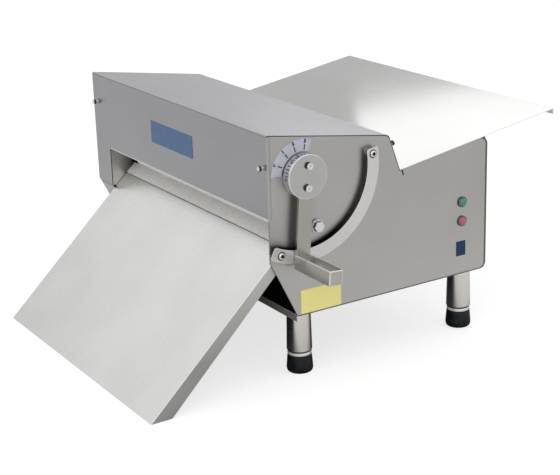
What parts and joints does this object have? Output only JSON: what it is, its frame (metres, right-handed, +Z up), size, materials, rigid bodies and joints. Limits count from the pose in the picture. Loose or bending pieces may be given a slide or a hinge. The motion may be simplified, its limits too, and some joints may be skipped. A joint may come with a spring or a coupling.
{
  "type": "fondant sheeter",
  "caption": "Table-top fondant sheeter: wedge hood over a roller pair, infeed tray, discharge slide to the table, side lever that sets the gap, push buttons, legs.",
  "frame": {"origin": "on the table, under the middle of the whole machine's outline", "axes": "+X to the operator's right where the lever is, +Y from the discharge side to the infeed tray, +Z up"},
  "size_m": [0.813, 0.8972, 0.4685],
  "materials": {
    "brushed_stainless": "long straight brushing",
    "brushed_side_panels": "long straight brushing, a little warmer",
    "leg_stainless": "fine turned brushing",
    "polished_steel": "fine ground, brighter than the panels",
    "turned_steel": "turned",
    "screw_steel": "bright",
    "button_chrome": "polished",
    "cast_grey": "cast, satin",
    "bronze_bush": "machined bronze",
    "white_roller_plastic": "satin food-grade plastic",
    "white_plastic": "satin",
    "black_plastic": "matte",
    "black_pulley": "blackened",
    "black_rubber": "matte",
    "belt_rubber": "ribbed fabric-backed rubber",
    "motor_paint": "satin paint",
    "pale_blue_dial": "printed plate, pale lavender blue",
    "blue_plate": "satin blue",
    "dark_blue_plate": "satin dark blue",
    "yellow_plate": "satin pale yellow",
    "green_button": "gloss",
    "red_button": "gloss"
  },
  "bodies": {
    "frame": {"arc_guide": "polished_steel", "arc_screws": "screw_steel", "arc_spacers": "turned_steel", "axle_bolts": "screw_steel", "base_pan": "brushed_stainless", "bearing_housings": "cast_grey", "belt_guard": "brushed_stainless", "blue_front_plate": "blue_plate", "blue_side_plate": "dark_blue_plate", "button_bezels": "button_chrome", "cross_bars": "turned_steel", "dial_scale": "pale_blue_dial", "discharge_slide": "brushed_stainless", "drive_belt": "belt_rubber", "foot_front_left": "black_rubber", "foot_front_right": "black_rubber", "foot_rear_left": "black_rubber", "foot_rear_right": "black_rubber", "gearbox": "cast_grey", "hood": "brushed_stainless", "hood_screws": "screw_steel", "hood_tabs": "brushed_stainless", "infeed_tray": "brushed_stainless", "inner_side_plate": "brushed_stainless", "left_side_panel": "brushed_side_panels", "leg_front_left": "leg_stainless", "leg_front_right": "leg_stainless", "leg_rear_left": "leg_stainless", "leg_rear_right": "leg_stainless", "lower_axle": "turned_steel", "lower_scraper": "white_plastic", "motor": "motor_paint", "motor_bracket": "brushed_stainless", "power_gland": "black_plastic", "rear_panel": "brushed_stainless", "right_side_panel": "brushed_side_panels", "switch_box": "black_plastic", "tension_stud": "turned_steel", "yellow_side_plate": "yellow_plate"},
    "gap_lever": {"right_eccentric": "turned_steel", "left_eccentric": "turned_steel", "upper_axle": "turned_steel", "hub": "polished_steel", "lever_bar": "polished_steel", "handle": "polished_steel", "cap_disc": "polished_steel", "cap_screws": "screw_steel", "friction_pad": "white_plastic"},
    "upper_roller": {"upper_roller": "white_roller_plastic", "upper_roller_bushes": "bronze_bush", "upper_pulley": "black_pulley"},
    "lower_roller": {"lower_roller": "white_roller_plastic", "lower_roller_bushes": "bronze_bush", "lower_pulley": "black_pulley"},
    "motor_drive": {"motor_shaft": "turned_steel", "motor_pulley": "black_pulley"},
    "tension_wheel": {"tension_pulley": "black_pulley"},
    "start_button": {"start_button": "green_button"},
    "stop_button": {"stop_button": "red_button"}
  },
  "joints": [
    {"name": "gap_lever_turn", "type": "hinge", "parent": "frame", "child": "gap_lever", "pos_m": [0.2855, -0.13412, 0.38952], "axis": [1, 0, 0], "range_deg": [0, 92], "deforming": ["drive_belt"]},
    {"name": "upper_roller_spin", "type": "hinge", "parent": "gap_lever", "child": "upper_roller", "pos_m": [-0.0265, -0.13058, 0.37727], "axis": [1, 0, 0], "continuous": true},
    {"name": "lower_roller_spin", "type": "hinge", "parent": "frame", "child": "lower_roller", "pos_m": [-0.0265, -0.10565, 0.2909], "axis": [1, 0, 0], "continuous": true},
    {"name": "motor_spin", "type": "hinge", "parent": "frame", "child": "motor_drive", "pos_m": [-0.3345, 0.12915, 0.211], "axis": [1, 0, 0], "continuous": true},
    {"name": "tension_pulley_spin", "type": "hinge", "parent": "frame", "child": "tension_wheel", "pos_m": [-0.3655, -0.06312, 0.42102], "axis": [1, 0, 0], "continuous": true},
    {"name": "start_button_press", "type": "slide", "parent": "frame", "child": "start_button", "axis": [1, 0, 0], "range_m": [-0.0025, 0], "stiffness_N_per_m": 600, "springref_m": 0.002},
    {"name": "stop_button_press", "type": "slide", "parent": "frame", "child": "stop_button", "axis": [1, 0, 0], "range_m": [-0.0025, 0], "stiffness_N_per_m": 600, "springref_m": 0.002}
  ],
  "couplings": [
    {"joint": "upper_roller_spin", "follows": "lower_roller_spin", "ratio": -1},
    {"joint": "motor_spin", "follows": "lower_roller_spin", "ratio": 1.3667},
    {"joint": "tension_pulley_spin", "follows": "lower_roller_spin", "ratio": 2.5625}
  ]
}
